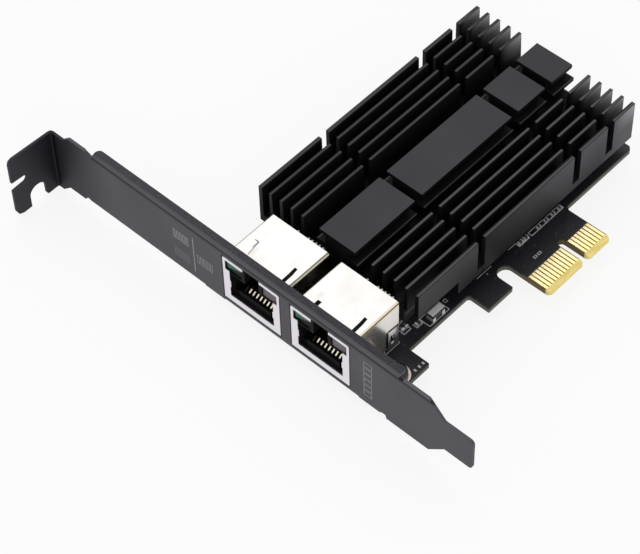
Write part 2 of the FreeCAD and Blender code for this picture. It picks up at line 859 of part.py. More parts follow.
def coupling_capacitors():
    blocks = [turned_block(edge_column - 0.1, y, large_coupling) for y in large_coupling_y]
    blocks += [turned_block(edge_column, y, small_coupling) for y in small_coupling_y]
    return Part.makeCompound(blocks)


def edge_inductor():
    y = sink_near + edge_inductor_from_near
    block = centred_block(edge_column - 0.9, y, edge_inductor_size)
    return slope_edges(block, 0.25, lambda edge, middle: along(edge, 1))


def port_filters():
    """Small parts at the foot of the right jack."""
    x = main_right - 4.8
    blocks = [centred_block(x, jack_back + 2.75, (1.9, 0.75, 0.6))]
    blocks.append(centred_block(x, jack_back + 3.9, (1.9, 0.75, 0.6)))
    blocks.append(turned_block(main_right - 2.85, jack_back + 6.25, (1.5, 0.7, 0.6)))
    return Part.makeCompound(blocks)


def solder_side_capacitors():
    cx, cy = chip_centre
    blocks = []
    step_x = chip_size / 5.75
    step_y = chip_size / 4.6
    for i in range(4):
        for j in range(3):
            x = cx + (i - 1.5) * step_x
            y = cy + (j - 1) * step_y
            blocks.append(box(x - 0.5, x + 0.5, y - 0.27, y + 0.27, board_low - 0.5, board_low))
    return Part.makeCompound(blocks)


# Write every piece

save("circuit_board", circuit_board())
save("edge_fingers_top", edge_fingers(0, finger_thick))
save("edge_fingers_bottom", edge_fingers(board_low - finger_thick, board_low))
save("ground_rings", ground_rings())
save("bracket", bracket())
save("bracket_screws", bracket_screws())
for name, centre in zip(("left", "right"), jack_centres):
    save(name + "_jack_shield", jack_shield(centre))
    save(name + "_jack_housing", jack_housing(centre))
    save(name + "_jack_contacts", jack_contacts(centre))
    save(name + "_jack_green_light", jack_light(centre, -1))
    save(name + "_jack_grey_light", jack_light(centre, 1))
    save(name + "_jack_light_leads", light_leads(centre))
save("heatsink", heatsink())
save("heatsink_standoffs", heatsink_standoffs())
save("heatsink_screws", heatsink_screws())
save("network_controller", network_controller())
save("thermal_pad", thermal_pad())
save("lan_transformers", lan_transformers())
save("flash_memory", flash_memory())
save("crystal", crystal())
save("power_inductors", power_inductors())
save("voltage_regulators", voltage_regulators())
save("bulk_capacitors", bulk_capacitors())
save("chip_resistors", chip_resistors())
save("coupling_capacitors", coupling_capacitors())
save("edge_inductor", edge_inductor())
save("port_filters", port_filters())
save("solder_side_capacitors", solder_side_capacitors())
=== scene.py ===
# %% [markdown]
# # A two-port network interface card
#
# The card is a flat thing with many small, crisp details: a folded steel
# bracket, two plated sockets, a finned heatsink and a gold-edged board. The
# packed CAD model already holds every main form, so this lesson gives each
# form its finish, adds the solder and the tinned ends of the small parts, and
# sets a camera and a soft studio around the card.

# %% Load the packed model
import math

import bpy
import numpy as np
from mathutils import Matrix, Vector


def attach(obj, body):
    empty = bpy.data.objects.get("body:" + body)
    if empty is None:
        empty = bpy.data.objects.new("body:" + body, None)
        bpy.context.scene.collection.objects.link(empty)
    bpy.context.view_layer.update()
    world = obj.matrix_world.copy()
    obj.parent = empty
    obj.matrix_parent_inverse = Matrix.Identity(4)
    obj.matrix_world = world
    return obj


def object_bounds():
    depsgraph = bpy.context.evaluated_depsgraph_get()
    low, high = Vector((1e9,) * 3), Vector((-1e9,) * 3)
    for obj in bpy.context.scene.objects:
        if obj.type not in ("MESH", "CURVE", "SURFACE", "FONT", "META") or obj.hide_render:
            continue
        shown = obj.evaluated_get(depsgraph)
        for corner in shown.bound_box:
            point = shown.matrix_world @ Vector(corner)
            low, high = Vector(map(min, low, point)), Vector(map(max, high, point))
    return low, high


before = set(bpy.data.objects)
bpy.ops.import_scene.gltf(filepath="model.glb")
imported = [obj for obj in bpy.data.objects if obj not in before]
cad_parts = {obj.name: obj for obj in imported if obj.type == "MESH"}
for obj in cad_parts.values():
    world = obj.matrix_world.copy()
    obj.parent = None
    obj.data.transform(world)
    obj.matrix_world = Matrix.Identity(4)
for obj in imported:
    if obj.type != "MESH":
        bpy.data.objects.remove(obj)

cad_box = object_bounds()
print("nodes:", len(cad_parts))
print("CAD box:", [[round(v, 4) for v in corner] for corner in cad_box])

# %% [markdown]
# ## Camera
#
# The card was seen from above its bracket with a long lens. The azimuth,
# height and roll below were measured from the card's own straight edges, so
# the lens looks at one target point and needs no shift. Places are written in
# millimetres in this lesson, and MM turns them into Blender's metres.

# %% Camera
MM = 0.001
IMAGE_WIDTH = 640
SENSOR_WIDTH = 36.0


def aim(azimuth, height, roll, distance, target, focal_pixels):
    """A camera at a distance from its target, turned by three angles.

    back = (sin a cos h, -cos a cos h, sin h) points from the target to the
    camera; right lies level; up is their cross product; the roll then turns
    right and up about back.
    """
    az, el, turn = (math.radians(v) for v in (azimuth, height, roll))
    back = Vector((math.sin(az) * math.cos(el), -math.cos(az) * math.cos(el), math.sin(el)))
    level = Vector((math.cos(az), math.sin(az), 0.0))
    above = back.cross(level)
    right = level * math.cos(turn) + above * math.sin(turn)
    up = above * math.cos(turn) - level * math.sin(turn)
    place = Vector(target) * MM + back * distance * MM
    data = bpy.data.cameras.new("card_camera")
    data.sensor_width = SENSOR_WIDTH
    data.lens = SENSOR_WIDTH * focal_pixels / IMAGE_WIDTH
    data.clip_start = 0.01
    camera = bpy.data.objects.new("card_camera", data)
    bpy.context.scene.collection.objects.link(camera)
    turned = Matrix((right, up, back)).transposed().to_4x4()
    camera.matrix_world = Matrix.Translation(place) @ turned
    bpy.context.scene.camera = camera
    return camera


camera = aim(azimuth=44.115, height=51.621, roll=-1.913, distance=503.83,
             target=(-40.0, -40.415, -1.489), focal_pixels=2366.9)
print("lens", round(camera.data.lens, 1), "mm")

# %% [markdown]
# ## Colours
#
# A colour read off a screen is stored on a curve that spends most of its 255
# steps on dark tones. Light only adds up on a straight scale, and Blender's
# shaders work on that scale, so each screen colour passes through one
# function. The black parts of this card differ by a few steps only, so they
# are easier to judge in screen numbers.

# %% Colours
def linear(r, g, b):
    """A colour read off a screen, 0 to 255, as linear light with alpha 1.

    With v = level / 255, the light is v / 12.92 for the darkest levels and
    otherwise (v + 0.055) / 1.055 to the power 2.4.
    """
    light = []
    for level in (r, g, b):
        v = level / 255.0
        light.append(v / 12.92 if v <= 0.04045 else ((v + 0.055) / 1.055) ** 2.4)
    return (*light, 1.0)


print("grey of 75 on the screen is", round(linear(75, 75, 75)[0], 4), "of linear light")

# %% [markdown]
# ## Sums on sockets
#
# A finish is a small sum: noise times a strength, plus a mask for an edge.
# Blender draws each step of such a sum as a node, which is slow to lay out by
# hand. This class lets the sum be written as one line of Python instead, and
# every operator adds its node. A comparison gives 1 where it holds and 0
# elsewhere, so it serves as a mask.

# %% Numbers
class Number:
    """A number on its way through a finish's nodes."""

    def __init__(self, finish, socket):
        self.finish = finish
        self.socket = socket

    def math(self, operation, *others):
        """This number and the others, put through one Math node."""
        return self.finish.math(operation, self, *others)

    def __add__(self, other):
        return self.math("ADD", other)

    def __sub__(self, other):
        return self.math("SUBTRACT", other)

    def __rsub__(self, other):
        return self.finish.math("SUBTRACT", other, self)

    def __mul__(self, other):
        return self.math("MULTIPLY", other)

    def __gt__(self, other):
        return self.math("GREATER_THAN", other)

    def __lt__(self, other):
        return self.math("LESS_THAN", other)

    __radd__ = __add__
    __rmul__ = __mul__

    def size(self):
        """The number without its sign."""
        return self.math("ABSOLUTE")

    def most(self, other):
        """The larger of this number and the other."""
        return self.math("MAXIMUM", other)

    def least(self, other):
        """The smaller of this number and the other."""
        return self.math("MINIMUM", other)

    def repeat(self, pitch):
        """How far the number is past the last of many equal steps.

        It is pitch times what number / pitch has after its decimal point.
        """
        return self.math("DIVIDE", pitch).math("FRACT") * pitch

    def ramp(self, low, high):
        """0 up to low, 1 from high on, and a straight rise between them."""
        values = {0: self, 1: low, 2: high, 3: 0.0, 4: 1.0}
        node = self.finish.node("ShaderNodeMapRange", {"clamp": True}, values)
        return Number(self.finish, node.outputs[0])

    def between(self, low, high, soft=0.02):
        """1 from low to high: a rise at low times a fall at high."""
        return self.ramp(low - soft, low + soft) * (1.0 - self.ramp(high - soft, high + soft))


print("operators on a socket: + - * < > and their reflected forms")

# %% [markdown]
# ## A finish
#
# A finish is one material. It reads the place and the facing of the surface,
# draws simple shapes on them in millimetres, and ends in Blender's Principled
# shader. Pictures wrapped round the parts could do the same, but shapes that
# are worked out from the place stay sharp close up and need no unwrapping.

# %% Finishes
class Finish:
    """One material, built up from the places and noises of its surface."""

    def __init__(self, name):
        self.material = bpy.data.materials.new(name)
        self.material.use_nodes = True
        self.tree = self.material.node_tree
        self.tree.nodes.clear()
        self.known = {}

    def node(self, kind, settings=None, values=None):
        """Any node: its settings first, then what goes into its sockets."""
        made = self.tree.nodes.new(kind)
        for key, value in (settings or {}).items():
            setattr(made, key, value)
        for key, value in (values or {}).items():
            socket = made.inputs[key]
            if isinstance(value, Number):
                self.tree.links.new(value.socket, socket)
            elif isinstance(value, bpy.types.NodeSocket):
                self.tree.links.new(value, socket)
            else:
                socket.default_value = value
        return made

    def math(self, operation, *values):
        """One Math node on its numbers, in their order."""
        made = self.node("ShaderNodeMath", {"operation": operation}, dict(enumerate(values)))
        return Number(self, made.outputs[0])

    def place(self):
        """The surface point's X, Y and Z in millimetres."""
        if "place" not in self.known:
            source = self.node("ShaderNodeTexCoord").outputs["Object"]
            split = self.node("ShaderNodeSeparateXYZ", None, {0: source})
            self.known["object"] = source
            self.known["place"] = [Number(self, s) * (1.0 / MM) for s in split.outputs]
        return self.known["place"]

    def facing(self):
        """The X, Y and Z of the way that the surface faces, each -1 to 1."""
        if "facing" not in self.known:
            source = self.node("ShaderNodeTexCoord").outputs["Normal"]
            split = self.node("ShaderNodeSeparateXYZ", None, {0: source})
            self.known["facing"] = [Number(self, s) for s in split.outputs]
        return self.known["facing"]

    def noise(self, grain, stretch=(1, 1, 1), detail=3.0):
        """Noise from 0 to 1 whose lumps are about grain millimetres wide.

        The place is divided by grain times stretch along each axis, so a
        large stretch turns lumps into streaks along that axis.
        """
        self.place()
        scale = [1.0 / (grain * MM * s) for s in stretch]
        mapped = self.node("ShaderNodeMapping", {"vector_type": "POINT"},
                           {"Vector": self.known["object"], "Scale": scale})
        made = self.node("ShaderNodeTexNoise", None,
                         {"Vector": mapped.outputs[0], "Scale": 1.0, "Detail": detail})
        return Number(self, made.outputs[0])

    def cells(self, grain):
        """Distance to the nearest of scattered points, grain millimetres apart."""
        self.place()
        made = self.node("ShaderNodeTexVoronoi", {"feature": "F1"},
                         {"Vector": self.known["object"], "Scale": 1.0 / (grain * MM)})
        return Number(self, made.outputs["Distance"])

    def patch(self, u, v, rect, soft=0.02):
        """1 inside a rectangle (u0, u1, v0, v1) of two places."""
        u0, u1, v0, v1 = rect
        return u.between(u0, u1, soft) * v.between(v0, v1, soft)

    def border(self, u, v, rect, width, soft=0.02):
        """1 on the drawn outline of a rectangle: a larger patch less a smaller one."""
        u0, u1, v0, v1 = rect
        w = width / 2.0
        outer = self.patch(u, v, (u0 - w, u1 + w, v0 - w, v1 + w), soft)
        inner = self.patch(u, v, (u0 + w, u1 - w, v0 + w, v1 - w), soft)
        return (outer - inner).most(0.0)

    def stroke(self, u, v, start, end, width, soft=0.05):
        """1 along a straight pen line from start to end.

        The place is measured along the line and across it; it is in the
        stroke when along lies within the length and across within the width.
        """
        du, dv = end[0] - start[0], end[1] - start[1]
        length = math.hypot(du, dv)
        du, dv = du / length, dv / length
        along = (u - start[0]) * du + (v - start[1]) * dv
        across = ((v - start[1]) * du - (u - start[0]) * dv).size()
        return along.between(0.0, length, soft) * (1.0 - across.ramp(width / 2 - soft, width / 2 + soft))

    def boxes(self, u, v, rect, pitch):
        """A row of small empty boxes along u, one in each pitch."""
        margin, gap, pen = 0.12, 0.18, 0.18
        u0, u1, v0, v1 = rect
        one = (margin, pitch - margin - gap, v0, v1)
        return self.border((u - u0).repeat(pitch), v, one, pen, 0.05) * u.between(u0, u1)

    def mix(self, mask, under, over):
        """The over colour where the mask is 1, and the under colour elsewhere."""
        made = self.node("ShaderNodeMix", {"data_type": "RGBA", "blend_type": "MIX"},
                         {0: mask, 6: under, 7: over})
        return made.outputs[2]

    def soft_edges(self, radius):
        """Normals that run smoothly over sharp edges, radius in millimetres."""
        return self.node("ShaderNodeBevel", {"samples": 4}, {"Radius": radius * MM}).outputs[0]

    def edges(self, radius):
        """1 along sharp edges, 0 on flat ground.

        The true and the softened normal agree on flat ground, where their
        dot product is 1; near an edge it is less.
        """
        flat = self.node("ShaderNodeNewGeometry").outputs["Normal"]
        made = self.node("ShaderNodeVectorMath", {"operation": "DOT_PRODUCT"},
                         {0: self.soft_edges(radius), 1: flat})
        return (1.0 - Number(self, made.outputs["Value"])).ramp(0.01, 0.12)

    def lift(self, height, distance, strength, soften=None):
        """A bump: height 0 to 1 stands for distance in millimetres."""
        values = {"Height": height, "Distance": distance * MM, "Strength": strength}
        if soften is not None:
            values["Normal"] = soften
        return self.node("ShaderNodeBump", None, values).outputs[0]

    def shade(self, base, rough, metal, normal, specular=0.5):
        """The finished material, with one Principled shader at its end."""
        values = {"Base Color": base, "Roughness": rough, "Metallic": metal, "Normal": normal,
                  "Specular IOR Level": specular}
        shader = self.node("ShaderNodeBsdfPrincipled", None, values)
        self.node("ShaderNodeOutputMaterial", None, {0: shader.outputs[0]})
        return self.material


def dress(material, *names):
    """Give CAD nodes their finish, in the slots that they already have."""
    for name in names:
        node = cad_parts[name]
        if not node.material_slots:
            node.data.materials.append(material)
        for slot in node.material_slots:
            slot.material = material


print("drawing tools:", [name for name in vars(Finish) if not name.startswith("_")])

# %% [markdown]
# ## Bracket
#
# The bracket is steel sheet under a thin, dark grey, satin coat. A coat shows
# a fine dry grain, cloudy changes in gloss, and a paler, rubbed line along its
# folds and cut edges. Rows of small pale boxes and one fine rule are printed on
# its face. One flat grey would look like card, so light and shade are painted
# into the coat's colour: painted shade darkens the face towards the folded tab,
# fills the inside of that fold and the crease under the lip, darkens the lip and
# frames the two windows, and a painted highlight runs along the bend to the lip.

# %% Bracket finish
# the sockets' centres along X, half their width, their height, their gap
JACKS = (-42.73, -23.43)
JACK_HALF = 8.025
JACK_TOP = 13.35
WINDOW_GAP = 0.12
# the tab lies past this X, the face and its bend before the first Y, and the
# flat lip past the second
TAB_FOLD = -101.9
BEND_END = -57.2
LIP_START = -57.5
# print: a rectangle, then for rows of boxes also the pitch and the strength
FACE_RULE = (-59.6, -59.34, 0.95, 12.1)
FACE_BOXES = (
    ((-65.4, -60.7, 8.0, 10.6), 0.94, 1.0),
    ((-65.4, -60.7, 2.2, 4.6), 0.94, 0.35),
    ((-58.6, -53.8, 4.7, 7.3), 0.96, 0.8),
)
UPRIGHT_BOXES = ((1.0, 12.4, -11.4, -9.3), 1.9, 0.9)
# the coat in painted shade, for the face near the tab and for the tab
COAT_PAINTED_SHADE = linear(26, 25, 32)


def bracket_finish():
    """Coat tones by place along the sheet, then folds, print and worn edges."""
    f = Finish("bracket_coat")
    x, y, z = f.place()
    ny, nz = f.facing()[1:]
    grain = f.noise(0.2, detail=4.0)
    speck = f.noise(0.45)
    cloud = f.noise(14.0, detail=2.0)
    wear = f.edges(0.16)
    base = f.mix(cloud.ramp(0.3, 0.7), linear(76, 75, 80), linear(83, 82, 87))
    # painted shade: the face darkens towards the tab, the tab is shaded too, and the inside of that fold
    # is darkest
    base = f.mix(1.0 - x.ramp(-101.8, -84.0), base, COAT_PAINTED_SHADE)
    tab_shade = f.mix(y.ramp(-69.0, -60.0), linear(46, 45, 51), COAT_PAINTED_SHADE)
    base = f.mix(x < TAB_FOLD, base, tab_shade)
    base = f.mix(x.between(-102.3, -101.3, 0.15) * (y > -59.6), base, linear(8, 8, 10))
    # the lip along the top lies flat, in painted shade darker than the face and darker towards the right,
    # and shows its specks
    lip = nz.ramp(0.75, 0.95) * (y > LIP_START)
    base = f.mix(lip, base, f.mix(x.ramp(-80.0, -10.0), linear(58, 57, 62), linear(48, 47, 52)))
    base = f.mix(lip * speck.ramp(0.5, 0.65) * 0.7, base, linear(72, 71, 76))
    # painted shade in the crease and a painted highlight on the bend run along the fold between face and
    # lip
    front = y < BEND_END
    crease_shade = z.ramp(13.75, 14.5) * (1.0 - z.ramp(14.8, 15.0)) * front * (x > -89.6)
    base = f.mix(crease_shade * 0.88, base, linear(22, 22, 26))
    bend_highlight = z.ramp(14.95, 15.1) * (1.0 - z.ramp(15.3, 15.5)) * front
    base = f.mix(bend_highlight * 0.55, base, linear(98, 97, 102))
    # a thin shadow frames each socket in its window
    for centre in JACKS:
        past_side = (x - centre).size() - (JACK_HALF + WINDOW_GAP)
        past = past_side.most(z - (JACK_TOP + WINDOW_GAP)).most(-WINDOW_GAP - z)
        base = f.mix((1.0 - past.ramp(0.1, 0.3)) * front, base, linear(20, 20, 24))
    ink = f.patch(x, z, FACE_RULE, 0.05)
    for rect, pitch, strength in FACE_BOXES:
        ink = ink + f.boxes(x, z, rect, pitch) * strength
    rect, pitch, strength = UPRIGHT_BOXES
    ink = ink + f.boxes(z, x, rect, pitch) * strength
    ragged = f.noise(0.4).ramp(0.3, 0.5)
    ink = ink.least(1.0) * (ny < -0.7) * (0.3 + ragged * 0.5)
    base = f.mix(ink, base, linear(168, 167, 172))
    base = f.mix(wear * 0.25, base, linear(126, 125, 130))
    rough = 0.5 + grain * 0.12 - cloud * 0.06 - wear * 0.08 + lip * 0.06
    normal = f.lift(grain * 0.7 + speck * 0.3, 0.02, 0.6, f.soft_edges(0.14))
    return f.shade(base, rough, 0.0, normal, specular=0.16)


dress(bracket_finish(), "bracket")
print("bracket dressed")

# %% [markdown]
# ## Screws
#
# Two kinds: black screws hold the bracket, bright zinc-plated ones the
# heatsink. Handling rubs a screw's rim bare first. An edge mask shows that
# wear on both kinds, so one function with a colour and a gloss makes them.

# %% Screw finishes
def screw_finish(name, colour, rough):
    """Metal with a fine grain, smears of gloss and a paler rim."""
    f = Finish(name)
    grain = f.noise(0.1, detail=2.0)
    smear = f.noise(1.6)
    wear = f.edges(0.12)
    base = f.mix(wear * 0.5, colour, linear(170, 170, 172))
    normal = f.lift(grain, 0.006, 0.5, f.soft_edges(0.1))
    return f.shade(base, rough + smear * 0.12, 0.9, normal)


dress(screw_finish("black_screw", linear(58, 58, 62), rough=0.36), "bracket_screws")
dress(screw_finish("zinc_screw", linear(196, 198, 202), rough=0.28), "heatsink_screws")
print("screws dressed")

# %% [markdown]
# ## Heatsink
#
# The heatsink is pressed through a die, so long faint streaks run along it,
# then sawn across, which leaves finer marks on the cut faces, and anodised
# black. Anodising is a dull, even skin. So little light comes back from it
# that each plane is told apart by a few steps of grey only, and these steps
# are painted light: the tops, the outer sides, the far row of fins and the
# near ends of the left fins are painted paler, while the depths between the
# fins keep the nearly black skin.

# %% Heatsink finish
SINK_LEFT = -57.53
SINK_RIGHT = -12.69
SINK_NEAR = -40.05
SINK_TOP = 14.4
# the fins repeat at a pitch, and a painted highlight line with soft edges tops each one
FIN_PITCH = 3.06
FIN_LINE = (0.14, 0.62, 0.06)
# the stem's centre, and how far from it the caps can reach
STEM = -35.1
CAP_REACH = 8.0


def heatsink_finish():
    """Black skin with streaks, then painted light and shade on each plane by place and facing."""
    f = Finish("black_anodising")
    x, y, z = f.place()
    nx, ny, nz = f.facing()
    streak = f.noise(0.5, (1, 60, 1))
    sawn = f.noise(0.35, (12, 1, 1), 2.0)
    speck = f.noise(0.12, detail=2.0)
    cloud = f.noise(18.0, detail=2.0)
    left = x < STEM - CAP_REACH
    right = x > STEM + CAP_REACH
    middle = (1.0 - left) * (1.0 - right)
    base = f.mix(cloud, linear(15, 15, 17), linear(19, 19, 21))
    # painted light on the tops, paler on the right: whole on the caps, only their middle on the narrow
    # fins
    line_left = (x - SINK_LEFT).repeat(FIN_PITCH).between(*FIN_LINE)
    line_left = line_left.most(1.0 - x.ramp(SINK_LEFT + 0.9, SINK_LEFT + 0.96)) * left
    line_right = (SINK_RIGHT - x).repeat(FIN_PITCH).between(*FIN_LINE) * right
    top = (nz > 0.7) * z.ramp(SINK_TOP - 0.4, SINK_TOP - 0.2) * (line_left + line_right + middle)
    painted_tone = f.mix(cloud.ramp(0.35, 0.7), linear(60, 60, 63), linear(66, 66, 69))
    painted_tone = f.mix(right, painted_tone, linear(80, 80, 83))
    base = f.mix(top, base, painted_tone)
    # painted light and shade on the right outer side: pale high up and at its far end, darker low down
    # and along its middle
    side = (nx > 0.7) * x.ramp(SINK_RIGHT - 0.3, SINK_RIGHT - 0.2)
    painted_tone = f.mix(y.ramp(-19.0, 10.0), linear(26, 26, 29), linear(78, 77, 81))
    painted_tone = f.mix(y < -20.0, painted_tone, linear(62, 62, 64))
    painted_tone = f.mix(1.0 - z.ramp(1.0, 13.0), painted_tone, linear(26, 26, 28))
    painted_tone = f.mix(y.ramp(20.0, 28.0), painted_tone, linear(92, 92, 96))
    base = f.mix(side, base, painted_tone)
    # painted light on the left outer side
    side = (nx < -0.7) * (1.0 - x.ramp(SINK_LEFT + 0.2, SINK_LEFT + 0.3))
    base = f.mix(side, base, linear(58, 58, 61))
    # painted light on the far row of fins, fading towards their feet
    row = (nx > 0.7) * y.ramp(24.5, 30.5) * z.ramp(8.5, 14.0) * (1.0 - middle)
    base = f.mix(row * 0.9, base, linear(165, 165, 168))
    # painted light on the near ends of the left fins, less towards the stem
    near = (ny < -0.7) * (1.0 - y.ramp(SINK_NEAR + 0.1, SINK_NEAR + 0.3)) * z.ramp(7.0, 14.0)
    fade = 1.0 - x.ramp(SINK_LEFT + 1.0, SINK_LEFT + 4.5 * FIN_PITCH) * 0.85
    base = f.mix(near * left * fade, base, linear(62, 62, 64))
    # a fine painted highlight line where the shelf meets the cap
    edge = (x - STEM).size().between(5.45, 5.75) * z.between(10.6, 10.85)
    base = f.mix(edge * 0.9, base, linear(86, 86, 90))
    cut = ny.size() > 0.7
    height = streak * (1.0 - cut) + sawn * cut + speck * 0.3
    normal = f.lift(height, 0.02, 0.5, f.soft_edges(0.06))
    return f.shade(base, 0.5 + streak * 0.1 + speck * 0.06, 0.0, normal, specular=0.1)


dress(heatsink_finish(), "heatsink")
print("heatsink dressed")

# %% [markdown]
# ## Socket shields
#
# The shields are folded from thin sheet with a bright nickel plating. The
# metal is nearly a mirror, so most of its look comes from the studio: pale
# where it reflects the sky, dark where it reflects the board. The finish adds
# what the solid leaves plain: the soft waves of rolled sheet, the seam under
# the folded lid, a sprung flap in each side and two pressed marks on top. They
# are drawn, because they lie almost level with the sheet. Light and shade are
# painted in too: a warm painted highlight on the lid's rim, a bright strip and
# bright hooks, painted light and shade on the flaps, painted shade in the
# dents and in the gap between the sockets, and a darker top and a cooler front
# painted by facing.

# %% Shield finish
JACK_MIDDLE = sum(JACKS) / 2
JACK_STEP = JACKS[1] - JACKS[0]
# the slots: how deep the lid's sheet is cut, and from where to where along Y
SLOT_DEPTH = 0.29
SLOT_ROOM = (-57.6, -43.2)
# the second socket's seam lies this much lower
SEAM_DROP = 0.37
# the flap on Y and Z, its two outlines, its hooks and holes
FLAP = (-46.5, -43.1, 0.1, 6.1)
FLAP_OUTLINE = (((-46.5, 6.4), (-43.1, 6.1)), ((-46.5, 6.4), (-46.8, 0.1)))
HOOKS = ((-45.3, -44.75, 3.2, 4.5), (-45.3, -44.6, 1.4, 2.2))
HOLES = ((-44.75, -44.3, 2.3, 4.2), (-45.1, -44.6, 2.3, 3.0))
# on X and Y: pressed marks, shown by painted shade, and cuts with their width
TOP_DENTS = ((-46.9, -46.3, -54.4, -51.4), (-28.9, -28.3, -52.9, -51.2))
TOP_CUTS = (((-48.64, -50.45), (-47.5, -50.45), 0.22), ((-47.55, -50.4), (-47.0, -54.4), 0.26))


def past_centre(x):
    """How far a place lies along X past the centre of its own socket."""
    return x - ((x > JACK_MIDDLE) * JACK_STEP + JACKS[0])


def shield_finish():
    """Bright sheet, its seam, flap, pressed marks and slots, with light and shade painted on rim, flap,
    dents and gap.
    """
    f = Finish("nickel_sheet")
    x, y, z = f.place()
    nx, ny, nz = f.facing()
    second = x > JACK_MIDDLE
    out = past_centre(x).size()
    wave = f.noise(3.5, (1, 3, 1), 2.0)
    brush = f.noise(0.18, (1, 30, 1), 2.0)
    smear = f.noise(5.0)
    top = nz > 0.9
    side = nx.size() > 0.7
    base = f.mix(smear.ramp(0.3, 0.75), linear(232, 226, 220), linear(222, 217, 212))
    # painted by facing: the lid's top is a darker copy of the sheet's colour, which holds back the light
    # falling on it from above, and the front faces are a cooler copy
    base = f.mix(top, base, f.mix(smear.ramp(0.35, 0.7), linear(198, 197, 195), linear(191, 189, 186)))
    base = f.mix(ny < -0.7, base, linear(228, 224, 230))
    # painted shade on the first socket's right side, which stands in the dark gap between the two
    inner_side = (nx > 0.7) * (1.0 - second)
    base = f.mix(inner_side * (1.0 - z.ramp(12.1, 12.4)) * 0.3, base, linear(60, 60, 72))
    # a warm painted highlight on the lid's folded rim, the seam under it and a painted bright strip below
    # that
    rim = nx.size() > 0.3
    base = f.mix(z.between(12.3, 13.3, 0.15) * rim * 0.7, base, linear(232, 216, 164))
    seam = (z + second * SEAM_DROP).between(13.12, 13.47, 0.05) * rim
    base = f.mix(seam * (second * 0.2 + 0.76), base, linear(36, 27, 18))
    strip_highlight = z.between(12.62, 13.12, 0.05) * inner_side
    base = f.mix(strip_highlight, base, linear(255, 252, 230))
    # the flap in each side, painted light above and painted shade below and towards the back, with a
    # hook, a painted highlight, that stands in a hole
    flap = f.patch(y, z, FLAP, 0.05) * side
    lit = z.ramp(2.4, 5.4) * (1.0 - y.ramp(-44.4, -43.2))
    base = f.mix(flap, base, f.mix(lit, linear(104, 103, 107), linear(250, 248, 250)))
    hook_highlight = sum(f.patch(y, z, rect, 0.1) for rect in HOOKS) * side
    hole = sum(f.patch(y, z, rect, 0.08) for rect in HOLES) * side
    outline = sum(f.stroke(y, z, start, end, 0.75) for start, end in FLAP_OUTLINE)
    outline = (outline.least(1.0) * side).most(hole.least(1.0))
    # painted shade in two dents on the lids; the first one is cut free along a fine L
    dent_shade = sum(f.patch(x, y, rect, 0.5) for rect in TOP_DENTS)
    cut = sum(f.stroke(x, y, start, end, width) for start, end, width in TOP_CUTS)
    base = f.mix(dent_shade * top * 0.3, base, linear(110, 110, 114))
    base = f.mix(cut.least(1.0) * top * 0.7, base, linear(60, 58, 58))
    # the cut faces of the sheet inside its slots are seen in shade
    inside = y.between(*SLOT_ROOM) * (nz.size() < 0.5)
    slot = inside * (z > JACK_TOP - SLOT_DEPTH) * (out < JACK_HALF - 0.5)
    slot = slot + inside * (nx.size() < 0.5) * (z < JACK_TOP - 6.0) * (out > JACK_HALF - 0.35)
    base = f.mix(slot, base, linear(66, 66, 68))
    base = f.mix(outline, base, linear(20, 20, 22))
    base = f.mix(hook_highlight, base, linear(250, 250, 250))
    rough = 0.24 + brush * 0.1 + smear * 0.06 - side * 0.12 + (seam + slot + outline + flap) * 0.3
    metal = (1.0 - slot) * (1.0 - hook_highlight) * (1.0 - strip_highlight) * (1.0 - second * side * 0.08)
    height = wave * 0.8 + brush * 0.1 * (1.0 - side) - seam * 2.0
    return f.shade(base, rough, metal, f.lift(height, 0.05, 0.35, f.soft_edges(0.14)))


dress(shield_finish(), "left_jack_shield", "right_jack_shield")
print("shields dressed")

# %% [markdown]
# ## Inside the sockets
#
# Each socket holds a black moulding, eight gold wires and two small light
# windows. Moulded plastic has a faint skin of fine spark-eroded grain. The
# unlit windows look milky: one is tinted green and the other is clear; each is
# painted lit above a slanted line and in dark painted shade below it. The
# wires are gold all along, but light reaches them only where they fold over
# at the mouth, so painted shade keeps the rest dark.

# %% Socket finishes
# the Y where the wires fold over, and the step from wire to wire
FOLD = -55.9
PITCH = 1.02
# the height of a window's lit edge, and where along X it is that high
LIGHT_LINE = 9.6
LIGHT_END = 7.25


def moulded_finish(name, colour, rough, grain_size, gloss=0.5):
    """Plastic: a cloudy colour, a fine grain and slightly rubbed edges."""
    f = Finish(name)
    grain = f.noise(grain_size)
    cloud = f.noise(4.0)
    wear = f.edges(0.1)
    pale = (*(v * 1.25 for v in colour[:3]), 1.0)
    base = f.mix(cloud.ramp(0.3, 0.7), colour, pale)
    base = f.mix(wear * 0.25 * gloss, base, linear(90, 90, 92))
    normal = f.lift(grain, 0.01, 0.6, f.soft_edges(0.08))
    return f.shade(base, rough + grain * 0.12, 0.0, normal, specular=gloss)


def light_finish(name, colour, slope):
    """A window painted lit from above, down to a line that slants with slope.

    A point is lit where z is over LIGHT_LINE + slope (LIGHT_END - out).
    """
    f = Finish(name)
    x, _, z = f.place()
    haze = f.noise(1.2)
    grain = f.noise(0.1)
    out = past_centre(x).size()
    lit = (z - LIGHT_LINE - (LIGHT_END - out) * slope).ramp(-0.3, 0.3)
    pale = (*(min(1.0, v * 1.4) for v in colour[:3]), 1.0)
    base = f.mix(haze.ramp(0.3, 0.7), colour, pale)
    # painted shade below the slanted line, the window's own colour above it
    base = f.mix(lit, linear(14, 16, 17), base)
    base = f.mix(z.ramp(12.0, 12.1), base, linear(206, 203, 208))
    return f.shade(base, 0.4 + grain * 0.1, 0.0, f.lift(haze, 0.02, 0.3), specular=0.1)


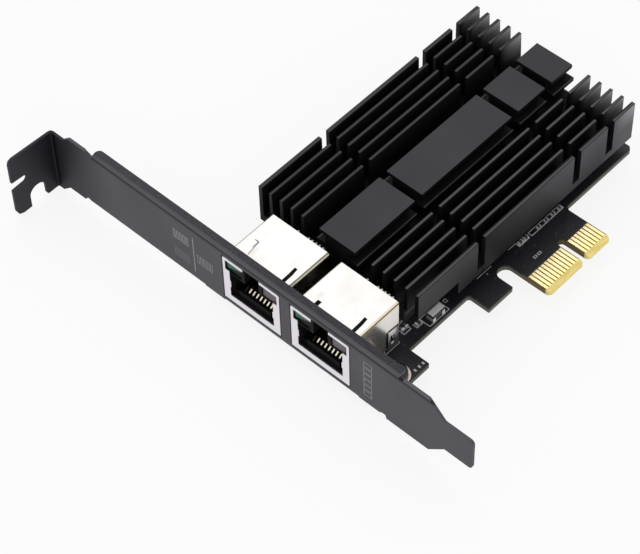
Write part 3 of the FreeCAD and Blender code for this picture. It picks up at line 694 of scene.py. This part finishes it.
def lead_finish():
    """Tinned wire whose cut top is painted pale as a highlight and whose sides are painted dark as shade.
    """
    f = Finish("tinned_wire")
    smear = f.noise(1.5)
    grain = f.noise(0.08)
    base = f.mix(f.facing()[2] > 0.7, linear(60, 56, 48), linear(150, 148, 136))
    return f.shade(base, 0.4 + smear * 0.14, 0.6, f.lift(grain, 0.004, 0.4))


def contact_finish():
    """Gold where the wires fold over, bar each socket's first; painted shade elsewhere."""
    f = Finish("contact_gold")
    x, y, z = f.place()
    grain = f.noise(0.08)
    smear = f.noise(0.8)
    across = past_centre(x)
    aside = ((across + 4 * PITCH).repeat(PITCH) - PITCH / 2).size()
    # painted shade: only the fold of each wire shows gold, bar each socket's first wire; the rest is
    # painted dark
    shown = y.between(FOLD - 0.45, FOLD + 0.45, 0.08) * z.ramp(3.6, 3.75) * (across > -3 * PITCH)
    shown = shown * (1.0 - aside.ramp(0.13, 0.19)) * (f.facing()[2] > 0.3)
    base = f.mix(smear.ramp(0.3, 0.75), linear(254, 248, 232), linear(248, 232, 196))
    base = f.mix(1.0 - shown, base, linear(16, 13, 9))
    rough = 0.34 + smear * 0.1
    return f.shade(base, rough, 0.3 + shown * 0.7, f.lift(grain, 0.004, 0.4), specular=0.2)


dress(moulded_finish("socket_moulding", linear(9, 9, 11), rough=0.6, grain_size=0.16, gloss=0.12),
      "left_jack_housing", "right_jack_housing")
dress(light_finish("green_window", linear(72, 108, 94), slope=0.42),
      "left_jack_green_light", "right_jack_green_light")
dress(light_finish("grey_window", linear(104, 96, 102), slope=-0.3),
      "left_jack_grey_light", "right_jack_grey_light")
dress(contact_finish(), "left_jack_contacts", "right_jack_contacts")
dress(lead_finish(), "left_jack_light_leads", "right_jack_light_leads")
print("sockets dressed")

# %% [markdown]
# ## Circuit board
#
# A board is woven glass in resin, with copper tracks under a black lacquer.
# The tracks show only as slightly raised, slightly greyer lines; small
# plated holes dot them. The sawn edge is bare laminate, and so is the slope
# that is milled along the gold fingers, where it looks golden. Printed
# outlines frame the parts. Real tracks wander, so bands cut out of a
# stretched noise stand for them, and only the print has places of its own.

# %% Board finish
OUTLINES = (
    (-16.05, -13.15, -35.7, -29.55),
    (-16.0, -14.9, -37.75, -35.7),
    (-18.5, -15.75, -40.8, -38.75),
    (-14.0, -12.95, -6.75, -3.45),
    (-13.95, -12.85, -2.7, 7.9),
)
RULES = (
    (-14.1, -13.95, -19.55, -14.9),
    (-14.18, -14.03, -9.15, -6.65),
    (-15.2, -15.05, -57.0, -42.95),
    (-21.0, -15.1, -43.05, -42.9),
    (-19.1, -17.8, -35.68, -35.52),
    (-13.3, -13.1, -17.3, -16.9),
)
MARKS = (
    (-15.6, -14.8, -28.8, -28.1),
    (-8.9, -8.4, -7.1, -6.3),
    (-8.9, -8.4, -5.8, -4.9),
)
BARS = (
    (-8.35, -7.65, -46.5, -46.0),
    (-8.35, -7.65, -45.2, -44.7),
    (-8.35, -7.65, -44.0, -43.5),
)
FINGER_GROUND = (-6.35, 0.1, -12.2, 8.2)


def board_finish():
    """Lacquer with tracks, holes and print on the flats; laminate on the edges."""
    f = Finish("board_lacquer")
    x, y, z = f.place()
    nz = f.facing()[2]
    flat = nz.size() > 0.97
    weave = f.noise(0.35, detail=2.0)
    cloud = f.noise(9.0)
    lanes = (f.noise(2.2, (1, 6, 1), 0.0) * 9.0).math("FRACT")
    rows = (f.noise(2.6, (6, 1, 1), 0.0) * 8.0).math("FRACT")
    track = lanes.ramp(0.42, 0.5) * (1.0 - lanes.ramp(0.78, 0.86))
    cross = rows.ramp(0.5, 0.56) * (1.0 - rows.ramp(0.8, 0.86))
    tracks = track.most(cross) * flat
    dots = f.cells(2.4)
    via = (1.0 - dots.ramp(0.10, 0.13)) * flat
    pit = (1.0 - dots.ramp(0.04, 0.06)) * flat
    base = f.mix(cloud.ramp(0.3, 0.7), linear(19, 20, 24), linear(24, 25, 30))
    base = f.mix(tracks * 0.4, base, linear(33, 34, 39))
    base = f.mix(via * 0.35, base, linear(92, 90, 84))
    base = f.mix(pit * 0.8, base, linear(12, 12, 12))
    # printed lines and frames, a little ragged, on the upper face only
    ink = sum(f.patch(x, y, rect) for rect in RULES + BARS)
    ink = ink + sum(f.border(x, y, rect, 0.2) for rect in OUTLINES)
    ink = ink + sum(f.border(x, y, rect, 0.16) for rect in MARKS)
    ragged = f.noise(0.3).ramp(0.25, 0.5)
    ink = ink.least(1.0) * (nz > 0.97) * (0.55 + ragged * 0.45)
    base = f.mix(ink * 0.9, base, linear(206, 206, 210))
    # the ground between the gold fingers
    ground = f.patch(x, y, FINGER_GROUND) * flat
    base = f.mix(ground * 0.9, base, linear(122, 96, 52))
    # the edges: grey laminate, brown by the fingers, gold on the milled slope
    fibres = f.noise(0.3, (10, 10, 1), 4.0)
    raw = f.mix(fibres.ramp(0.35, 0.7), linear(92, 95, 82), linear(118, 121, 106))
    raw = f.mix(z.ramp(-0.75, -0.35), raw, linear(40, 42, 40))
    by_fingers = y.ramp(-13.0, -12.8)
    brown = f.mix(fibres.ramp(0.35, 0.7), linear(96, 80, 48), linear(132, 110, 66))
    raw = f.mix(by_fingers * x.ramp(-8.0, -7.0) * 0.85, raw, brown)
    gold = f.mix(fibres.ramp(0.3, 0.7), linear(240, 212, 124), linear(254, 238, 158))
    raw = f.mix(by_fingers * x.ramp(-1.45, -1.3), raw, gold)
    base = f.mix(flat, raw, base)
    rough = 0.38 + weave * 0.08 + (1.0 - flat) * 0.3 + ink * 0.25
    height = tracks * 0.6 + weave * 0.25 - pit + via * 0.5 + ink * 0.5
    normal = f.lift(height, 0.035, 0.6, f.soft_edges(0.08))
    return f.shade(base, rough, 0.0, normal, specular=0.3)


def finger_finish():
    """Gold that deepens towards the tips, where the slot has scratched it."""
    f = Finish("finger_gold")
    x = f.place()[0]
    scratch = f.noise(0.12, (30, 1, 1))
    smear = f.noise(2.0)
    worn = x.ramp(-5.0, -1.8) * scratch.ramp(0.5, 0.7)
    base = f.mix(smear.ramp(0.3, 0.75), linear(255, 240, 196), linear(252, 228, 168))
    base = f.mix(x.ramp(-5.0, -1.6), base, linear(248, 218, 142))
    base = f.mix(worn * 0.4, base, linear(255, 240, 200))
    normal = f.lift(scratch, 0.006, 0.5, f.soft_edges(0.05))
    return f.shade(base, 0.26 + smear * 0.12 + worn * 0.08, 1.0, normal)


def plated_finish(name, colour, dull, rough):
    """Plated metal with cloudy dull spots."""
    f = Finish(name)
    smear = f.noise(1.5)
    grain = f.noise(0.08)
    base = f.mix(smear.ramp(0.35, 0.75), colour, dull)
    return f.shade(base, rough + smear * 0.14, 1.0, f.lift(grain, 0.004, 0.4))


dress(board_finish(), "circuit_board")
dress(finger_finish(), "edge_fingers_top", "edge_fingers_bottom")
dress(plated_finish("tinned_copper", linear(226, 208, 200), linear(206, 186, 178), rough=0.4),
      "ground_rings")
print("board dressed")

# %% [markdown]
# ## Small parts
#
# Most of them hide under the heatsink, but a low view shows their sides.
# Black packages are moulded, capacitors are ceramic, coils are pressed black
# powder and the clock crystal is a welded can. The finishes above already
# cover plastic and plated metal, so only ceramic and the coil at the board's
# edge need functions of their own.

# %% Small part finishes
def ceramic_finish(name, light, dark):
    """Fired ceramic: a fine speckle between two tones."""
    f = Finish(name)
    speck = f.noise(0.15, detail=4.0)
    cloud = f.noise(1.4)
    base = f.mix(speck.ramp(0.35, 0.7) * 0.6 + cloud * 0.3, light, dark)
    normal = f.lift(speck, 0.008, 0.5, f.soft_edges(0.07))
    return f.shade(base, 0.4 + speck * 0.15, 0.0, normal)


def edge_coil_finish():
    """A black ferrite whose top carries a pale, flat resin cap, painted lighter still as painted light
    under the heatsink's shadow.
    """
    f = Finish("edge_coil")
    speck = f.noise(0.15, detail=4.0)
    cap = (f.facing()[2] > 0.7) * f.place()[2].ramp(1.8, 1.86)
    base = f.mix(cap, linear(30, 30, 32), linear(226, 226, 226))
    base = f.mix(speck.ramp(0.4, 0.7) * 0.3, base, linear(90, 90, 92))
    return f.shade(base, 0.4 + speck * 0.15, 0.0, f.lift(speck, 0.01, 0.5))


dress(moulded_finish("package_moulding", linear(40, 40, 43), rough=0.42, grain_size=0.12),
      "network_controller", "lan_transformers", "flash_memory", "voltage_regulators")
dress(moulded_finish("coil_block", linear(52, 52, 55), rough=0.5, grain_size=0.2), "power_inductors")
dress(moulded_finish("heat_pad", linear(150, 152, 156), rough=0.7, grain_size=0.3), "thermal_pad")
dress(ceramic_finish("tan_ceramic", linear(150, 124, 96), linear(122, 98, 74)),
      "bulk_capacitors", "solder_side_capacitors")
dress(ceramic_finish("grey_ceramic", linear(84, 80, 78), linear(62, 58, 58)),
      "coupling_capacitors", "port_filters")
dress(ceramic_finish("black_glaze", linear(40, 40, 42), linear(26, 26, 28)), "chip_resistors")
dress(edge_coil_finish(), "edge_inductor")
dress(plated_finish("can_metal", linear(206, 205, 200), linear(188, 186, 180), rough=0.3), "crystal")
dress(plated_finish("turned_brass", linear(214, 176, 104), linear(196, 156, 88), rough=0.3),
      "heatsink_standoffs")
print("small parts dressed")

# %% [markdown]
# ## Surfaces from numbers
#
# The pieces that follow are worked out as whole arrays: a profile turned
# about an axis gives rings of points, and neighbouring rings are joined by
# faces. One mesh can hold many copies of such a form, moved to their places,
# which is quicker than one object for each joint of solder.

# %% Mesh helpers
def ring_faces(rings, around):
    """Four-sided faces between neighbouring rings of a turned form.

    Point j of ring i has the number i * around + j; a face takes it, its
    neighbour in the ring and the same two points of the next ring.
    """
    i, j = np.meshgrid(np.arange(rings - 1), np.arange(around), indexing="ij")
    k = (j + 1) % around
    quads = np.stack([i * around + j, i * around + k, (i + 1) * around + k, (i + 1) * around + j], -1)
    return quads.reshape(-1, 4)


def turned(radii, heights, around):
    """Points of a profile turned about Z: (r cos t, r sin t, h) on a grid."""
    t = np.linspace(0, 2 * np.pi, around, endpoint=False)
    r = np.asarray(radii, float)[:, None]
    h = np.asarray(heights, float)[:, None] + np.zeros_like(t)
    return np.stack([r * np.cos(t), r * np.sin(t), h], -1).reshape(-1, 3)


def copies(points, faces, offsets):
    """The same form at every offset, as one run of points and faces."""
    offsets = np.asarray(offsets, float)
    moved = points[None] + offsets[:, None]
    steps = np.arange(len(offsets))[:, None, None] * len(points)
    return moved.reshape(-1, 3), (faces[None] + steps).reshape(-1, faces.shape[1])


def piece(name, points, faces, material, smooth=False):
    """A mesh object from millimetre points, riding on the card."""
    mesh = bpy.data.meshes.new(name)
    mesh.from_pydata((points * MM).tolist(), [], faces.tolist())
    mesh.polygons.foreach_set("use_smooth", np.full(len(mesh.polygons), smooth))
    mesh.materials.append(material)
    mesh.update()
    made = bpy.data.objects.new(name, mesh)
    bpy.context.scene.collection.objects.link(made)
    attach(made, "root")
    print(name, len(mesh.polygons), "faces")


print("a ring of 14 joined to the next:", len(ring_faces(2, 14)), "faces")

# %% [markdown]
# ## Solder
#
# Every pin that passes the board ends in a small cone of solder on the far
# side. Its side is a hollow curve: the radius shrinks quickly near the board
# and slowly near the pin's end. A power of the height gives that curve, and
# three sizes of cone serve the thin pins, the wires and the shields' stakes.

# %% Solder cones
# the board's lower face and the sockets' rear face
BOARD_LOW = -1.57
JACK_BACK = -43.0
CONE_AROUND = 14
CONE_RINGS = 7
CONE_CURVE = 2.4
LEAD_OFFSETS = (-0.75, 2.2, 3.2, 4.2, 5.2, 6.2)


def solder_finish():
    """Bright tin with shallow dimples."""
    f = Finish("solder_tin")
    dimple = f.noise(0.4)
    base = f.mix(dimple.ramp(0.3, 0.7), linear(206, 206, 206), linear(178, 178, 180))
    return f.shade(base, 0.24 + dimple * 0.16, 1.0, f.lift(dimple, 0.03, 0.5))


def solder_cones(offsets, wide, thin, tall):
    """r = thin + (wide - thin)(1 - s)^2.4 while the height runs down by s."""
    s = np.linspace(0, 1, CONE_RINGS)
    radii = np.concatenate([[0.001], thin + (wide - thin) * (1 - s) ** CONE_CURVE, [0.001]])
    heights = np.concatenate([[0], -tall * s, [-tall - 0.08]])
    points = turned(radii, heights, CONE_AROUND)
    return copies(points, ring_faces(len(radii), CONE_AROUND)[:, ::-1], offsets)


# the wires' tails stand in two staggered rows, the leads along the sockets'
# rear edge, and a stake of the shield at each side of a socket
tails = [(centre + (k - 3.5) * PITCH, JACK_BACK - 1.6 - 2.0 * (k % 2), BOARD_LOW)
         for centre in JACKS for k in range(8)]
leads = [(centre + offset, JACK_BACK + 0.2, BOARD_LOW) for centre in JACKS for offset in LEAD_OFFSETS]
stakes = [(centre + side * 7.875, -51.9, BOARD_LOW) for centre in JACKS for side in (-1, 1)]
solder = solder_finish()
piece("pin_solder", *solder_cones(tails, wide=0.72, thin=0.3, tall=1.15), solder, smooth=True)
piece("lead_solder", *solder_cones(leads, wide=0.46, thin=0.29, tall=0.95), solder, smooth=True)
piece("stake_solder", *solder_cones(stakes, wide=1.25, thin=0.8, tall=1.0), solder, smooth=True)

# %% [markdown]
# ## Tinned ends
#
# A chip capacitor or resistor carries a dull silver cap on each end, and the
# solder wets it. The caps are plain blocks round the ends, a hair wider than
# the ceramic, because at this size their rounding would not show.

# %% End caps
# how far a cap stands proud, and its share of the chip's length
CAP_PROUD = 0.025
CAP_SHARE = 0.22
CHIPS = (
    # places, length, width, height, and whether the chip lies along Y
    ([(-51.6, -26.5), (-51.6, -23.6), (-19.6, 18.0), (-19.6, 20.3), (-45.2, 14.6), (-45.2, 17.0),
      (-19.8, -12.0), (-19.8, -9.4), (-41.4, 20.6), (-41.4, 28.2), (-28.2, 20.6), (-28.2, 28.2)],
     3.2, 1.6, 1.4, False),
    ([(-54.6, y) for y in (-12.5, -10.5, -8.5, -6.5)], 1.6, 0.8, 0.5, False),
    ([(-16.4, y) for y in (-7.0, -5.0, -3.0, -1.0, 7.2, 8.9)], 1.6, 0.8, 0.5, False),
    ([(x, 13.2) for x in (-39.0, -36.0, -33.0, -30.0)], 1.6, 0.8, 0.5, False),
    ([(-13.45, -5.95), (-13.45, -4.2)], 1.3, 0.7, 0.6, True),
    ([(-13.35, y) for y in (0.0, 2.5, 4.85, 7.1)], 1.1, 0.5, 0.5, True),
    ([(-15.45, -36.75)], 1.5, 0.7, 0.6, True),
    ([(-17.4, -40.25), (-17.4, -39.1)], 1.9, 0.75, 0.6, False),
    ([(-14.25, -32.65)], 3.7, 1.9, 1.0, True),
)


def blocks(lows, highs):
    """Closed boxes between low and high corners, as one run of points.

    Corner k takes low or high along X, Y and Z by the three bits of k.
    """
    lows = np.asarray(lows, float)
    highs = np.asarray(highs, float)
    bits = np.array([[(k >> 2) & 1, (k >> 1) & 1, k & 1] for k in range(8)])
    points = lows[:, None] + (highs - lows)[:, None] * bits[None]
    faces = np.array([[0, 1, 3, 2], [4, 6, 7, 5], [0, 4, 5, 1], [2, 3, 7, 6], [0, 2, 6, 4], [1, 5, 7, 3]])
    steps = np.arange(len(lows))[:, None, None] * 8
    return points.reshape(-1, 3), (faces[None] + steps).reshape(-1, 4)


def end_caps(places, length, width, height, along_y, z=0.0, sign=1):
    """Low and high corners of both caps of each chip, standing on z.

    A cap runs from just past the chip's end inwards by a share of its length;
    sign is -1 on the board's lower side.
    """
    half = width / 2 + CAP_PROUD
    low_z, high_z = sorted((z, z + sign * (height + CAP_PROUD)))
    lows, highs = [], []
    for x, y in places:
        for side in (-1, 1):
            outer = side * (length / 2 + CAP_PROUD)
            inner = side * (length / 2 - length * CAP_SHARE)
            start, end = sorted((outer, inner))
            low, high = ((-half, start), (half, end)) if along_y else ((start, -half), (end, half))
            lows.append((x + low[0], y + low[1], low_z))
            highs.append((x + high[0], y + high[1], high_z))
    return lows, highs


grid = [(STEM - 6.0 + 4.0 * i, -7.0 + 5.0 * j) for i in range(4) for j in range(3)]
under_board = (grid, 1.0, 0.54, 0.5, False, BOARD_LOW, -1)
lows, highs = [], []
for chips in (*CHIPS, under_board):
    more_lows, more_highs = end_caps(*chips)
    lows += more_lows
    highs += more_highs
tin = plated_finish("dull_tin", linear(250, 250, 250), linear(226, 226, 226), rough=0.5)
piece("chip_end_caps", *blocks(lows, highs), tin)

# %% [markdown]
# ## Floor and light
#
# A pale floor and a white sky give the plain studio. The lamps stay soft and
# level so that a colour looks as it was written. Rays of light meet a darker
# floor and sky than the camera and the mirrors do: a floor that was as white
# for both would fill every shadow on the card.

# %% Studio
# the floor's matt white, the glowing share of what is seen of it, and how
# much of the sky's white reaches the card as light
FLOOR_TONE = 0.86
GLOW_SHARE = 0.86
SKY_LIGHT = 0.62


def studio_floor(z):
    """A wide flat square at height z: partly matt and partly glowing white."""
    reach = 3.0
    corners = [(-reach, -reach, z), (reach, -reach, z), (reach, reach, z), (-reach, reach, z)]
    mesh = bpy.data.meshes.new("studio_floor")
    mesh.from_pydata(corners, [], [(0, 1, 2, 3)])
    floor = bpy.data.objects.new("studio_floor", mesh)
    bpy.context.scene.collection.objects.link(floor)
    f = Finish("studio_floor")
    rays = f.node("ShaderNodeLightPath")
    seen = Number(f, rays.outputs["Is Camera Ray"]) + Number(f, rays.outputs["Is Glossy Ray"])
    seen = (seen + Number(f, rays.outputs["Is Transmission Ray"])).least(1.0)
    matt = f.node("ShaderNodeBsdfDiffuse", None, {"Color": (FLOOR_TONE, FLOOR_TONE, FLOOR_TONE, 1.0)})
    glow = f.node("ShaderNodeEmission", None, {"Color": (1.0, 1.0, 1.0, 1.0), "Strength": 1.0})
    both = f.node("ShaderNodeMixShader", None,
                  {0: seen * GLOW_SHARE, 1: matt.outputs[0], 2: glow.outputs[0]})
    f.node("ShaderNodeOutputMaterial", None, {0: both.outputs[0]})
    mesh.materials.append(f.material)


def sky():
    """A white world that lights the card a little less than it shows."""
    world = bpy.data.worlds.new("studio_sky")
    world.use_nodes = True
    tree = world.node_tree
    tree.nodes.clear()
    rays = tree.nodes.new("ShaderNodeLightPath")
    seen = tree.nodes.new("ShaderNodeMath")
    seen.operation = "MAXIMUM"
    tree.links.new(rays.outputs["Is Camera Ray"], seen.inputs[0])
    tree.links.new(rays.outputs["Is Glossy Ray"], seen.inputs[1])
    strength = tree.nodes.new("ShaderNodeMapRange")
    strength.inputs[3].default_value = SKY_LIGHT
    strength.inputs[4].default_value = 1.0
    tree.links.new(seen.outputs[0], strength.inputs[0])
    light = tree.nodes.new("ShaderNodeBackground")
    light.inputs["Color"].default_value = (1.0, 1.0, 1.0, 1.0)
    tree.links.new(strength.outputs[0], light.inputs["Strength"])
    out = tree.nodes.new("ShaderNodeOutputWorld")
    tree.links.new(light.outputs[0], out.inputs[0])
    bpy.context.scene.world = world


def softbox(name, place, target, size, watts):
    """A rectangular lamp that faces its target, all in metres."""
    data = bpy.data.lights.new(name, "AREA")
    data.shape = "RECTANGLE"
    data.size, data.size_y = size
    data.energy = watts
    lamp = bpy.data.objects.new(name, data)
    bpy.context.scene.collection.objects.link(lamp)
    lamp.location = place
    lamp.rotation_euler = (Vector(target) - Vector(place)).to_track_quat("-Z", "Y").to_euler()


studio_floor(cad_box[0][2] - 0.0001)
sky()
card_centre = (-0.04, -0.015, 0.0)
softbox("key_lamp", (-0.5, 0.15, 0.75), card_centre, size=(1.0, 1.0), watts=3.2)
softbox("fill_lamp", (0.65, -0.55, 0.4), card_centre, size=(0.6, 0.4), watts=1.6)
print("studio ready")

# %% Set the view transform
bpy.context.scene.view_settings.view_transform = "Standard"
